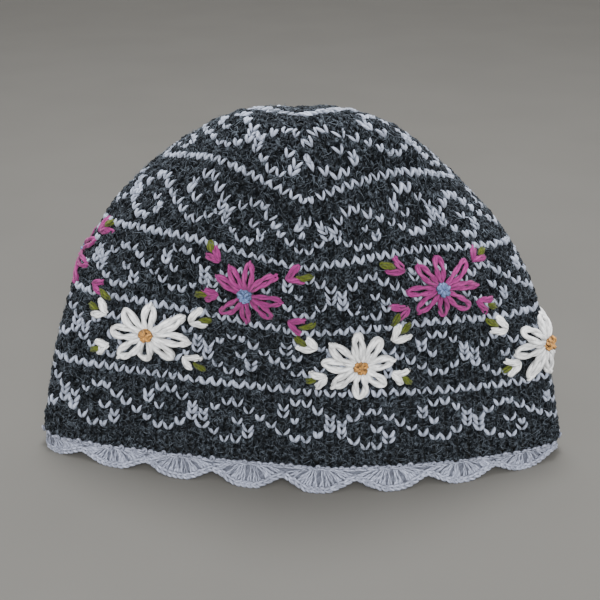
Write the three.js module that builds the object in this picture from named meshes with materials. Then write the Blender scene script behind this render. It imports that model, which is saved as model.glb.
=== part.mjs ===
// A hand-knitted beanie: a hollow knitted body, a crocheted scallop edging and ten embroidered flowers.
// Millimetres, +Z up, the front at -Y. The hat stands on its scallops, its rim pinched to a lens.
// Places on the body are given as a stitch column round the hat and a row above the rim.
import * as THREE from 'three';
import { mergeVertices } from 'three/addons/utils/BufferGeometryUtils.js';

// Driving sizes
const STITCHES = 96; // stitches round the rim
const WEDGES = 4; // crown sections, parted by the lines of decreases
const LEFT_FOLD = -2.5; // column of the left end; column 0 starts the first motif
const WALL = 3.2; // stranded knitting, two yarns thick
const GAP = 0.3; // between neighbouring pieces
const FOLD_RADIUS = 8; // how tightly the wall turns at the two ends
const FOLD_SHARE = 0.4; // the most that radius may be of a section's depth
const CREST_POWER = 1.5; // how straight a row runs from mid wedge down to a line of decreases

// The knitted body, section by section, in mm
// row: counted up from the rim
// height, rise: at the lines of decreases, and how much higher the middle of a wedge is
// width, depth: half sizes from the middle
// back: the back's depth as a share of the front's
// round: 1 is a diamond, 2 an ellipse
// skew: how far the front bulge sits to the right and the back one to the left
// shift: sideways lean
// tilt, lift: fall for each mm to the right and to the back
const SECTION_NAMES = [
  'row', 'height', 'width', 'depth', 'back', 'round', 'skew', 'shift', 'tilt', 'rise', 'lift',
];
const SECTIONS = [
  [-0.5, 9.5, 129.5, 32, 1, 1.35, 20, 0, 0, 0, 0],
  [12, 50.5, 120, 32, 1, 1.35, 16, 1, 0.03, 0.5, 0],
  [23, 87, 108.5, 38, 1, 1.4, 6, 2.5, 0.04, 3.5, -0.08],
  [34, 119, 91.5, 43, 1, 1.4, -2, 3, 0.05, 6, -0.05],
  [40, 135, 77.5, 43, 1.02, 1.4, 0, 3, 0.06, 7.5, -0.08],
  [45, 147.5, 63, 45, 0.95, 1.35, -2, 4, 0.07, 10, 0],
  [50, 156, 52, 41, 0.72, 1.65, 1, 3, 0.035, 8.5, 0.18],
  [54, 164, 37.5, 35, 0.6, 1.85, 1, 1, 0.01, 5, 0.3],
  [58, 171, 14.5, 15.5, 0.8, 2, 0, 0, 0, 1.5, 0.34],
  [62, 173, 1, 1, 1, 2, 0, -2, 0, 0, 0],
].map((line) => Object.fromEntries(line.map((size, i) => [SECTION_NAMES[i], size])));
const TIP = SECTIONS[SECTIONS.length - 1];

// Crochet edging
const SCALLOPS = 16;
const FIRST_NOTCH = 2.2; // column of a notch between two scallops
const EDGING_THICKNESS = 2.8;
const EDGING_PROUD = 0.2; // how far the crochet stands outside the knitting
const EDGING_FLARE = 1; // outward run for each mm of fall at mid front, less towards the two ends
const NOTCH_FALL = 4.8; // from the knitted edge down to a notch
const SHELL_POWER = 1.25; // above 1 the notches are rounded
const FLAT_TIP = 0.25; // share of a scallop's half width that rests on the floor
const SCALLOP_STEPS = 8;

// Embroidery: a ring of white flowers below a ring of pink ones, each centre a column and a row
const FLOWERS = {
  white: [[7.35, 18.4], [26.5, 17.2], [44.5, 17], [64.6, 17], [83.8, 17]],
  pink: [[16.2, 27.9], [34.4, 28.1], [54.3, 27.6], [73.4, 27.6], [92.1, 26.5]],
};
const PETALS = 8;
const PETAL_REACH = 17.5; // flower centre to petal tip
const PETAL_WAIST = 9.5; // flower centre to the notch between two petals
const PETAL_HEIGHT = 2.2;
const PETAL_EDGE = 0.5; // a petal's height at its tip, as a share of the full height
const RINGS_OUT = [0, 1 / 3, 2 / 3, 1]; // from the knot to the tips
const SEAT = 0.6; // from the wall to the underside of a petal
const KNOT_RADIUS = 2.9;
const KNOT_HEIGHT = 1.3;

// How finely the surface is worked out and drawn
const OUTLINE_STEPS = 720;
const END_CROWDING = 2.5; // how much those steps crowd towards the two ends, where the wall turns
const NORMAL_STEP = 0.25; // in columns and rows
const SAME_POINT = 1e-4;
const BODY_ROWS = [-0.5, 4, 8, 12, 16, 20, 23, 27, 31, 34, 37, 40, 42.5, 45, 47.5, 50, 52, 54, 56, 58, 60];
const COLUMNS_FROM_FOLD = [0, 0.5, 1.1, 2, 3.5, 6, 9, 12, 15, 18, 21];

function material(colour, roughness) {
  return new THREE.MeshStandardMaterial({ color: colour, roughness, metalness: 0 });
}

const MATERIALS = {
  body: material(0x3a4047, 0.95),
  edging: material(0xb9b9c8, 0.9),
  white: material(0xebebe4, 0.85),
  pink: material(0xb8509a, 0.85),
  whiteKnot: material(0xcd964b, 0.85),
  pinkKnot: material(0x82a0c8, 0.85),
};

// One column of SECTIONS at any row: a cubic through the table that never overshoots it
function sizeAt(row, key) {
  const last = SECTIONS.length - 2;
  const change = (i, name) => SECTIONS[i + 1][name] - SECTIONS[i][name];
  const slopeOf = (i) => change(i, key) / change(i, 'row');
  const tangent = (i) => {
    if (i === 0) return slopeOf(0);
    if (i > last) return slopeOf(last);
    const before = slopeOf(i - 1);
    const after = slopeOf(i);
    return before * after > 0 ? (2 * before * after) / (before + after) : 0;
  };
  let i = 0;
  while (i < last && row > SECTIONS[i + 1].row) i += 1;
  const span = change(i, 'row');
  const t = THREE.MathUtils.clamp((row - SECTIONS[i].row) / span, 0, 1);
  const rise = change(i, key);
  const start = tangent(i) * span;
  const end = tangent(i + 1) * span;
  return SECTIONS[i][key] + t * (start + t * (3 * rise - 2 * start - end + t * (start + end - 2 * rise)));
}

// The outline of one section, from the left end past the front and back again
// It is a superellipse grown by the radius of the folds, with a back of its own depth
function sectionOutline(row) {
  const size = (key) => sizeAt(row, key);
  const radius = Math.min(FOLD_RADIUS, FOLD_SHARE * size('depth'));
  const halfWidth = size('width') - radius;
  const halfDepth = size('depth') - radius;
  const power = 2 / size('round');
  const bend = (value, exponent) => Math.sign(value) * Math.abs(value) ** exponent;
  return Array.from({ length: OUTLINE_STEPS + 1 }, (_, i) => {
    const half = (2 * i) / OUTLINE_STEPS - 1; // -1 at the left end, 0 at the right end, 1 at the left again
    const toEnd = 1 - Math.abs(2 * Math.abs(half) - 1); // 0 at either end, 1 at mid front and mid back
    const turn = (Math.PI / 2) * toEnd ** END_CROWDING;
    const cosine = Math.cos(turn) * (Math.abs(half) > 0.5 ? -1 : 1);
    const sine = Math.sin(turn) * (half > 0 ? 1 : -1);
    const normal = new THREE.Vector2(
      bend(cosine, 2 - power) / halfWidth,
      bend(sine, 2 - power) / halfDepth,
    ).normalize();
    const sideways = -Math.sign(sine) * size('skew') * sine ** 2;
    const flankDepth = sine > 0 ? size('back') : 1;
    return new THREE.Vector2(
      halfWidth * bend(cosine, power) + radius * normal.x + sideways,
      flankDepth * (halfDepth * bend(sine, power) + radius * normal.y),
    );
  });
}

// A closed ring of the body's outer surface, with the length walked along it
const ringCache = new Map();
function ring(row) {
  if (!ringCache.has(row)) {
    const outline = sectionOutline(row);
    const length = [0];
    for (let i = 1; i < outline.length; i += 1) {
      length.push(length[i - 1] + outline[i].distanceTo(outline[i - 1]));
    }
    ringCache.set(row, { outline, length });
  }
  return ringCache.get(row);
}

// A point of the outer surface: half of the stitch columns share the front's length, and half the back's
function surfacePoint(column, row) {
  const { outline, length } = ring(row);
  const share = THREE.MathUtils.euclideanModulo(column - LEFT_FOLD, STITCHES) / STITCHES;
  const front = length[OUTLINE_STEPS / 2];
  const back = length[OUTLINE_STEPS] - front;
  const wanted = share < 0.5 ? 2 * share * front : front + (2 * share - 1) * back;
  let low = 0;
  let high = length.length - 1;
  while (high - low > 1) {
    const middle = (low + high) >> 1;
    if (length[middle] <= wanted) low = middle;
    else high = middle;
  }
  const between = (wanted - length[low]) / (length[high] - length[low]);
  const flat = outline[low].clone().lerp(outline[high], between);
  const acrossWedge = THREE.MathUtils.euclideanModulo(share * WEDGES, 1);
  const toLine = Math.abs(2 * acrossWedge - 1); // 1 at a decrease line, 0 at mid wedge
  const crest = sizeAt(row, 'rise') * (1 - toLine ** CREST_POWER);
  const leaning = sizeAt(row, 'tilt') * flat.x + sizeAt(row, 'lift') * flat.y;
  const height = sizeAt(row, 'height') + crest - leaning;
  return new THREE.Vector3(flat.x + sizeAt(row, 'shift'), flat.y, height);
}

// Outward normal of the body and the size of one stitch there, from small steps along columns and rows
function surfaceFrame(column, row) {
  const slope = (before, after) => after.sub(before).divideScalar(2 * NORMAL_STEP);
  const along = slope(surfacePoint(column - NORMAL_STEP, row), surfacePoint(column + NORMAL_STEP, row));
  const above = slope(surfacePoint(column, row - NORMAL_STEP), surfacePoint(column, row + NORMAL_STEP));
  const normal = along.clone().cross(above).normalize();
  return { normal, stitchWidth: along.length(), rowHeight: above.length() };
}

// A closed mesh from rings of equal length: each ring joins the next, and the last joins the first
function ringBand(rings) {
  const positions = rings.flat().flatMap((point) => point.toArray());
  const around = rings[0].length;
  const faces = [];
  for (let i = 0; i < rings.length; i += 1) {
    for (let j = 0; j < around; j += 1) {
      const a = i * around + j;
      const b = i * around + ((j + 1) % around);
      const c = ((i + 1) % rings.length) * around + ((j + 1) % around);
      const d = ((i + 1) % rings.length) * around + j;
      faces.push(a, b, c, a, c, d);
    }
  }
  return toGeometry(positions, faces);
}

function toGeometry(positions, faces) {
  const geometry = new THREE.BufferGeometry();
  geometry.setAttribute('position', new THREE.Float32BufferAttribute(positions, 3));
  geometry.setIndex(faces);
  const merged = mergeVertices(geometry, SAME_POINT);
  merged.computeVertexNormals();
  return merged;
}

function addPiece(group, name, geometry, finish) {
  const mesh = new THREE.Mesh(geometry, finish);
  mesh.name = name;
  group.add(mesh);
}

// Columns that crowd towards each fold and run wide apart on the flat flanks
function bodyColumns() {
  const half = STITCHES / 2;
  const mirrored = COLUMNS_FROM_FOLD.slice(1).reverse().map((column) => half - column);
  const flank = [...COLUMNS_FROM_FOLD, half / 2, ...mirrored];
  return [0, half].flatMap((start) => flank.map((column) => LEFT_FOLD + start + column));
}

// The knitted body: an outer surface, an inner one a wall's thickness inside it, and a flat rim between
function knitBody() {
  const columns = bodyColumns();
  const outer = BODY_ROWS.map((row) => columns.map((column) => surfacePoint(column, row)));
  const inner = BODY_ROWS.map((row, i) => columns.map((column, j) => {
    const { normal } = surfaceFrame(column, Math.max(row, 0));
    const point = outer[i][j].clone().addScaledVector(normal, -WALL);
    if (i === 0) point.z = outer[0][j].z;
    return point;
  }));
  const around = columns.length;
  const rings = [...inner].reverse().concat(outer);
  const positions = rings.flat().flatMap((point) => point.toArray());
  const faces = [];
  for (let i = 0; i < rings.length - 1; i += 1) {
    for (let j = 0; j < around; j += 1) {
      const a = i * around + j;
      const b = i * around + ((j + 1) % around);
      faces.push(a, b, b + around, a, b + around, a + around);
    }
  }
  const tip = surfacePoint(LEFT_FOLD, TIP.row);
  const innerTip = positions.length / 3;
  positions.push(tip.x, tip.y, tip.z - WALL, tip.x, tip.y, tip.z);
  const lastRing = (rings.length - 1) * around;
  for (let j = 0; j < around; j += 1) {
    const next = (j + 1) % around;
    faces.push(innerTip, next, j);
    faces.push(innerTip + 1, lastRing + j, lastRing + next);
  }
  return toGeometry(positions, faces);
}

// How far a scallop has come down between its notches, at -1 and 1, and its flat tip: 0 to 1
function shell(across) {
  const wave = (share) => Math.cos((Math.PI / 2) * share);
  return Math.min(1, Math.max(0, wave(across) / wave(FLAT_TIP)) ** SHELL_POWER);
}

// The edging: a band hung on the rim, whose lower edge is a row of shells that stand on flat tips at z 0
function scallopEdging() {
  const top = SECTIONS[0].height - GAP;
  const perScallop = STITCHES / SCALLOPS;
  const columns = Array.from(
    { length: SCALLOPS * SCALLOP_STEPS },
    (_, i) => FIRST_NOTCH + (i * perScallop) / SCALLOP_STEPS,
  );
  const lineAt = (share, inset) => columns.map((column, i) => {
    const across = (2 * (i % SCALLOP_STEPS)) / SCALLOP_STEPS - 1;
    const fall = share * (NOTCH_FALL + (top - NOTCH_FALL) * shell(across));
    const { normal } = surfaceFrame(column, 0);
    const outward = new THREE.Vector3(normal.x, normal.y, 0).normalize();
    const point = surfacePoint(column, SECTIONS[0].row);
    const flare = EDGING_FLARE * (1 - (point.x / SECTIONS[0].width) ** 2);
    point.addScaledVector(outward, flare * fall - inset);
    point.z = top - fall;
    return point;
  });
  const outside = [1, 0.5, 0].map((share) => lineAt(share, -EDGING_PROUD));
  const inside = [0, 0.5, 1].map((share) => lineAt(share, EDGING_THICKNESS - EDGING_PROUD));
  return ringBand([...outside, ...inside]);
}

// A point beside a flower's centre: x along the row and y up the columns in mm, then out along the normal
function beside(centre, x, y, out) {
  const frame = surfaceFrame(centre.column, centre.row);
  const column = centre.column + x / frame.stitchWidth;
  const row = centre.row + y / frame.rowHeight;
  return surfacePoint(column, row).addScaledVector(surfaceFrame(column, row).normal, out);
}

// The eight looped petals of one flower as one lobed ring that follows the wall
function flowerPetals(centre) {
  const steps = PETALS * 4;
  const hole = KNOT_RADIUS + GAP;
  const lineAt = (share, out) => Array.from({ length: steps }, (_, i) => {
    const angle = (2 * Math.PI * i) / steps;
    const lobe = 0.5 + 0.5 * Math.cos(PETALS * angle);
    const reach = PETAL_WAIST + (PETAL_REACH - PETAL_WAIST) * lobe;
    const radius = hole + (reach - hole) * share;
    return beside(centre, radius * Math.cos(angle), radius * Math.sin(angle), out);
  });
  const under = RINGS_OUT.map((share) => lineAt(share, SEAT));
  const heightAt = (share) => SEAT + PETAL_HEIGHT * (1 - (1 - PETAL_EDGE) * share);
  const over = RINGS_OUT.toReversed().map((share) => lineAt(share, heightAt(share)));
  return ringBand([...under, ...over]);
}

// The knot in a flower's middle: a flattened ball that lies on the wall inside the petals
function flowerKnot(centre) {
  const ball = new THREE.IcosahedronGeometry(1, 1);
  ball.deleteAttribute('normal');
  ball.deleteAttribute('uv');
  const geometry = mergeVertices(ball, SAME_POINT);
  const places = geometry.getAttribute('position');
  for (let i = 0; i < places.count; i += 1) {
    const out = SEAT + KNOT_HEIGHT * (1 + places.getZ(i));
    const place = beside(centre, KNOT_RADIUS * places.getX(i), KNOT_RADIUS * places.getY(i), out);
    places.setXYZ(i, place.x, place.y, place.z);
  }
  geometry.computeVertexNormals();
  return geometry;
}

function embroidery(group) {
  for (const [colour, centres] of Object.entries(FLOWERS)) {
    centres.forEach(([column, row], i) => {
      const name = `${colour}_flower_${i + 1}`;
      addPiece(group, `${name}_petals`, flowerPetals({ column, row }), MATERIALS[colour]);
      addPiece(group, `${name}_knot`, flowerKnot({ column, row }), MATERIALS[`${colour}Knot`]);
    });
  }
}

const beanie = new THREE.Group();
addPiece(beanie, 'knit_body', knitBody(), MATERIALS.body);
addPiece(beanie, 'scallop_edging', scallopEdging(), MATERIALS.edging);
embroidery(beanie);

export default beanie;
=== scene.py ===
"""A hand-knitted beanie with a vine scroll, crocheted scallops and embroidered daisies.

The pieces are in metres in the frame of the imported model. The stitches, the crochet, the
embroidery and the loose fibres are laid on the cap's own surface, which is worked out here
from the same table of sections as the model. Tables and paths are in millimetres, and
turn into metres when a mesh is made.
"""

import math

import bpy
import numpy as np
from bpy.props import FloatProperty, FloatVectorProperty, IntProperty, PointerProperty
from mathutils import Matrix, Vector


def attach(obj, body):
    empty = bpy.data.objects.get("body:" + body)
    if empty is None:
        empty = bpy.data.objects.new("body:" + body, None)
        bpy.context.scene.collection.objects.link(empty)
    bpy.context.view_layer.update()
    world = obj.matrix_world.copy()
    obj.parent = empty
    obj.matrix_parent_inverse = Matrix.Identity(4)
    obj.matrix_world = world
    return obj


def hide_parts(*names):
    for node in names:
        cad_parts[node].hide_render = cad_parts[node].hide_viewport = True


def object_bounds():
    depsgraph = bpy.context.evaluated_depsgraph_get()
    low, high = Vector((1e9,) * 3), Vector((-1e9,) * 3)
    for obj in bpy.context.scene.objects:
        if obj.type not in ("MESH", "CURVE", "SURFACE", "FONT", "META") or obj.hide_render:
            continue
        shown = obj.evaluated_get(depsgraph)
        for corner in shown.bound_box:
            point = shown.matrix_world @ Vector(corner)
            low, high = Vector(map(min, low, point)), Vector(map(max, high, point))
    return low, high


bl_info = {
    "name": "Knitted Beanie",
    "version": (1, 0, 0),
    "blender": (4, 5, 0),
    "location": "3D View > Sidebar > Beanie",
    "description": "Lays knitted stitches, crochet and embroidery on the frame of a beanie",
    "category": "Add Mesh",
}

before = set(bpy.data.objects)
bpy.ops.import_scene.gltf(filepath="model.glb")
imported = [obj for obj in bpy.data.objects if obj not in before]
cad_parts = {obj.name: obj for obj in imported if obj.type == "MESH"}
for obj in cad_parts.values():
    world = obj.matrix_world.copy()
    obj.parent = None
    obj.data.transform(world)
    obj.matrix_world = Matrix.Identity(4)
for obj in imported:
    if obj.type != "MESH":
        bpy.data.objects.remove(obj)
CAD_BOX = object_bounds()
BODY = "root"
MM = 0.001

# The cap's columns of stitches run round it in four wedges, and its rows run up from the rim.
STITCHES = 96
WEDGES = 4
WEDGE = STITCHES // WEDGES
LEFT_FOLD = -2.5
FIRST_ROW = -0.5
LAST_ROW = 62.0
FOLD_RADIUS = 8.0
FOLD_SHARE = 0.4
CREST_POWER = 1.5
OUTLINE_STEPS = 720
CROWDING = 2.5
TABLE_STEP = 0.25

# The cap's rings: row, height, half width, half depth, the back's depth as a share of the
# front's, roundness, skew, shift, tilt, rise and lift.
SECTIONS = np.array([
    (-0.5, 9.5, 129.5, 32, 1, 1.35, 20, 0, 0, 0, 0),
    (12, 50.5, 120, 32, 1, 1.35, 16, 1, 0.03, 0.5, 0),
    (23, 87, 108.5, 38, 1, 1.4, 6, 2.5, 0.04, 3.5, -0.08),
    (34, 119, 91.5, 43, 1, 1.4, -2, 3, 0.05, 6, -0.05),
    (40, 135, 77.5, 43, 1.02, 1.4, 0, 3, 0.06, 7.5, -0.08),
    (45, 147.5, 63, 45, 0.95, 1.35, -2, 4, 0.07, 10, 0),
    (50, 156, 52, 41, 0.72, 1.65, 1, 3, 0.035, 8.5, 0.18),
    (54, 164, 37.5, 35, 0.6, 1.85, 1, 1, 0.01, 5, 0.3),
    (58, 171, 14.5, 15.5, 0.8, 2, 0, 0, 0, 1.5, 0.34),
    (62, 173, 1, 1, 1, 2, 0, -2, 0, 0, 0),
])

# The vine scroll, 12 stitches wide and 11 rows high. The first line is the stripe, and the
# lines go down from it. An X is a stitch in the pale yarn.
SCROLL = """
XXXXXXXXXXXX
............
.........XX.
...XX...X..X
X.X..X..X...
XX....X..X..
XX..X..X....
.X...X..X..X
..X..X...XX.
...XX.......
............
""".split()
TOP_STRIPE_FIRST = 12
PLAIN_ROWS = 3
# The rows at which each wedge loses a stitch on its left and on its right.
LEFT_DECREASES = (41, 45, 49, 52, 54, 55, 56, 57, 58, 59, 60)
RIGHT_DECREASES = (41, 44, 47, 50, 53, 54, 55, 56, 58, 59, 60)

# One leg of a knitted stitch, from its foot to its shoulder: how far it stands from the
# middle of the stitch in stitches, how far up in rows, how far out in millimetres, and its
# thickness as a share of the full one.
LEG = np.array([
    (0.04, -0.32, -0.60, 0.48),
    (0.13, 0.08, 0.40, 0.88),
    (0.24, 0.45, 0.80, 1.00),
    (0.33, 0.80, 0.60, 0.84),
    (0.42, 1.18, -0.80, 0.40),
])
LEG_REACH = 1.1
THINNEST_LEG, THICKEST_LEG = 0.5, 1.35
# The pieces that the ground stitches are joined into, by their first row and the next one's.
BANDS = (("ground_stitches_lower", 0, 17), ("ground_stitches_middle", 17, 35),
         ("ground_stitches_crown", 35, 62))

# The rows that loose fibres lie on, and how much their share falls with the cap's girth.
FIBRE_ROWS = 59
FIBRES_THINNED = 0.88

# The two sheets of the inside, as millimetres behind the cap's outer face.
OUTER_SHEET, INNER_SHEET = 0.45, 3.2

# The edging: 16 scallops from notch to notch. Falls are millimetres down from its top.
SCALLOPS = 16
SCALLOP = STITCHES // SCALLOPS
FIRST_NOTCH = 2.2
NOTCH_FALL = 4.8
EDGING_TOP = 9.2
SHELL_POWER = 1.25
FLAT_TIP = 0.25
POST_POINTS = 7
BORDER_LINKS = 12
BORDER_RISE = 1.1
BACKING_RISE = 0.9
BACKING_FRONT, BACKING_BACK = 0.7, 2.3
STITCH_WIDTH = 5.6
# The lowest points that the crochet and its backing may have over the floor.
CROCHET_LOWEST, BACKING_LOWEST = 0.05, 0.06
# One leg of a crocheted link: how far along the link it is, and as shares of the yarn's half
# thickness, how far aside, how far out and how thick.
LINK = np.array([
    (-0.20, 0.10, -0.90, 0.50),
    (0.15, 0.35, 0.25, 0.92),
    (0.55, 0.72, 0.50, 1.00),
    (0.95, 0.92, 0.20, 0.92),
    (1.30, 0.85, -0.90, 0.50),
])
LINK_SPREAD = 1.15

# Flowers, by the column and row of their middle, and the tips of their petals in
# millimetres along the row and up the column from there.
TIPS_A = ((0, 16.5), (16.9, 13), (20.8, -1.6), (14, -13), (0, -16.5), (-13, -16.5),
          (-19.5, -1.6), (-14, 11.5))
TIPS_B = ((-1.3, 18), (9, 15), (15.6, 1.6), (11.7, -13), (0, -20), (-12.5, -13), (-18, 1.6),
          (-14, 13))
TIPS_C = ((-8.4, 12), (1, 16.5), (14.5, 14), (16.6, 0), (12.2, -11.3), (1, -16),
          (-10.6, -14.3), (-14, 5.5))
TIPS_D = ((1.2, 16.5), (16, 13), (18.4, 0), (12.3, -11.5), (-1, -15), (-12.3, -11.5),
          (-17, 0), (-9.8, 13))
# The leaf of each of a flower's four sprigs, as columns and rows from the flower's middle.
SPRIGS_A = ((-5.8, 2.5), (5.2, 4), (-5, -4), (5, -4))
SPRIGS_B = ((-5.2, 4.3), (4, 5.3), (-4.3, -3.2), (4.3, -2.7))
SPRIGS_C = ((-5.5, 5), (4.8, 4.5), (-4.6, -2.5), (4.6, -3.2))
SPRIGS_D = ((-3.9, 5.7), (5.1, 5.2), (-4.2, -1.8), (5.4, -4.3))
SPRIGS_E = ((-4.7, 4.5), (5.4, 5), (-4.9, -3.5), (4.9, -3.5))
SPRIGS_F = ((-4.3, 5.2), (4.1, 7), (-4.5, -2.7), (6.3, -3))
WHITE_FLOWERS = (
    (7.35, 18.4, TIPS_A, SPRIGS_A),
    (26.5, 17.2, TIPS_B, SPRIGS_B),
    (44.5, 17.0, TIPS_A, SPRIGS_C),
    (64.6, 17.0, TIPS_B, SPRIGS_B),
    (83.8, 17.0, TIPS_A, SPRIGS_C),
)
PINK_FLOWERS = (
    (16.2, 27.9, TIPS_C, SPRIGS_D),
    (34.4, 28.1, TIPS_D, SPRIGS_E),
    (54.3, 27.6, TIPS_C, SPRIGS_E),
    (73.4, 27.6, TIPS_D, SPRIGS_D),
    (92.1, 26.5, TIPS_C, SPRIGS_F),
)
# Half widths of the petals' loops, how far from the middle they start, the share of them
# that is tacked down, and the points and sides of a sprig's small loops.
WHITE_LOOP, PINK_LOOP = 2.15, 1.75
PETAL_START = 1.2
TACKED = 0.45
SMALL_LOOP = (20, 5)
# A sprig: how far behind its leaf's place the petals and the leaf start, and their reach.
SPRIG_BACK, SPRIG_REACH = 8.4, 9.6
LEAF_BACK, LEAF_REACH = 3.2, 6.9

# The camera, and the soft lights as name, place, size and share of the key light.
CAMERA_AIM = Vector((0.0, 0.0, 0.082))
CAMERA_AZIMUTH = math.radians(1.7)
CAMERA_ELEVATION = math.radians(25.0)
CAMERA_DISTANCE = 0.45
CAMERA_LENS = 56.7
SOFTBOXES = (
    ("overhead softbox", (0.0, 0.14, 1.35), 0.5, 0.95),
    ("front softbox", (0.1, -1.35, 0.8), 1.0, 1.35),
)
LIGHT_AIM = (0.0, 0.0, 0.06)
ROOM_COLOUR = (1.0, 0.985, 0.96, 1.0)
FLOOR_REACH = 4000


def shade(red, green, blue):
    """A display colour of 0 to 255 as the linear numbers that shaders take."""
    part = np.array([red, green, blue]) / 255
    linear = np.where(part <= 0.04045, part / 12.92, ((part + 0.055) / 1.055) ** 2.4)
    return tuple(float(x) for x in linear)


def colour_setting(name, description, display):
    return FloatVectorProperty(name=name, description=description, subtype="COLOR", size=3,
                               min=0.0, max=1.0, default=shade(*display))


def length_setting(name, description, millimetres):
    return FloatProperty(name=name, description=description, unit="LENGTH", min=0.0,
                         default=millimetres * MM)


def share_setting(name, description, share):
    return FloatProperty(name=name, description=description, min=0.05, max=0.4, default=share)


def count_setting(name, description, low, high, count):
    return IntProperty(name=name, description=description, min=low, max=high, default=count)


class YarnColours(bpy.types.PropertyGroup):
    """Colours of the yarns."""
    ground: colour_setting("Ground", "Dark fibres of the heather ground yarn", (3, 5, 8))
    ground_light: colour_setting("Ground light", "Light fibres of the ground yarn", (112, 121, 132))
    pale: colour_setting("Pattern", "Yarn of the scroll and the stripes", (160, 168, 187))
    edging: colour_setting("Edging", "Yarn of the crocheted edging", (158, 164, 184))
    white: colour_setting("White", "Embroidery yarn of the white flowers", (247, 251, 255))
    pink: colour_setting("Pink", "Embroidery yarn of the pink flowers", (146, 50, 116))
    amber: colour_setting("Amber", "Knots of the white flowers", (202, 146, 76))
    blue: colour_setting("Blue", "Knots of the pink flowers", (112, 136, 186))
    leaf: colour_setting("Leaf", "Embroidery yarn of the leaves", (84, 94, 26))


class StitchSizes(bpy.types.PropertyGroup):
    """Sizes of the knitted stitches."""
    ground_share: share_setting("Ground", "Half thickness of a leg as a share of a stitch", 0.25)
    pale_share: share_setting("Pattern", "Half thickness of a pale leg as a share of a stitch", 0.17)
    depth: length_setting("Depth", "Half thickness of a leg, out from the cap", 0.95)
    sides: count_setting("Sides", "Sides of a leg's section", 4, 12, 5)
    fibres: count_setting("Fibres", "Loose fibres on the cap", 0, 20000, 11000)
    fibre: length_setting("Fibre", "Half thickness of a loose fibre", 0.10)


class EdgingSizes(bpy.types.PropertyGroup):
    """Sizes of the crocheted edging."""
    posts: count_setting("Posts", "Posts in each scallop", 3, 15, 12)
    strand: length_setting("Strand", "Half thickness of the edging's yarn", 0.8)


class FlowerSizes(bpy.types.PropertyGroup):
    """Sizes of the embroidery."""
    white_strand: length_setting("White strand", "Half thickness of the white yarn", 1.72)
    pink_strand: length_setting("Pink strand", "Half thickness of the pink yarn", 1.25)
    leaf_strand: length_setting("Leaf strand", "Half thickness of the leaf yarn", 0.95)
    white_knot: length_setting("White knot", "Radius of a white flower's knot", 3.6)
    pink_knot: length_setting("Pink knot", "Radius of a pink flower's knot", 3.4)


class StudioSettings(bpy.types.PropertyGroup):
    """The floor and the lights."""
    floor: colour_setting("Floor", "Colour of the floor", (95, 94, 91))
    key: FloatProperty(name="Key light", description="Strength of the overhead and front softboxes",
                       unit="POWER", min=0.0, default=24.0)
    room: FloatProperty(name="Room light", description="Strength of the even light all round",
                        min=0.0, default=1.1)


class BeanieSettings(bpy.types.PropertyGroup):
    """All that a user would change."""
    colours: PointerProperty(type=YarnColours, name="Colours", description="Yarn colours")
    stitches: PointerProperty(type=StitchSizes, name="Stitches", description="Knitted stitches")
    edging: PointerProperty(type=EdgingSizes, name="Edging", description="Crocheted edging")
    flowers: PointerProperty(type=FlowerSizes, name="Flowers", description="Embroidery")
    studio: PointerProperty(type=StudioSettings, name="Studio", description="Floor and lights")


def colour_of(name):
    return tuple(getattr(bpy.context.scene.beanie.colours, name))


def scaled(colour, by):
    return tuple(min(1.0, part * by) for part in colour)


def unit(vectors):
    """Vectors of length one, along the last axis."""
    return vectors / np.maximum(np.linalg.norm(vectors, axis=-1, keepdims=True), 1e-12)


def bend(values, power):
    """A power that keeps the sign."""
    return np.sign(values) * np.abs(values) ** power


def size_at(rows, sizes):
    """One size of the cap at any row: a monotone cubic through its column of the table."""
    knots = SECTIONS[:, 0]
    slope = np.diff(sizes) / np.diff(knots)
    product = slope[:-1] * slope[1:]
    total = np.where(product > 0, slope[:-1] + slope[1:], 1.0)
    middle = np.where(product > 0, 2 * product / total, 0.0)
    tangent = np.concatenate([slope[:1], middle, slope[-1:]])
    cell = np.clip(np.searchsorted(knots, rows, side="left") - 1, 0, len(knots) - 2)
    span = knots[cell + 1] - knots[cell]
    share = np.clip((rows - knots[cell]) / span, 0, 1)
    rise = sizes[cell + 1] - sizes[cell]
    start = tangent[cell] * span
    end = tangent[cell + 1] * span
    cubic = start + share * (3 * rise - 2 * start - end + share * (start + end - 2 * rise))
    return (sizes[cell] + share * cubic)[:, None]


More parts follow.
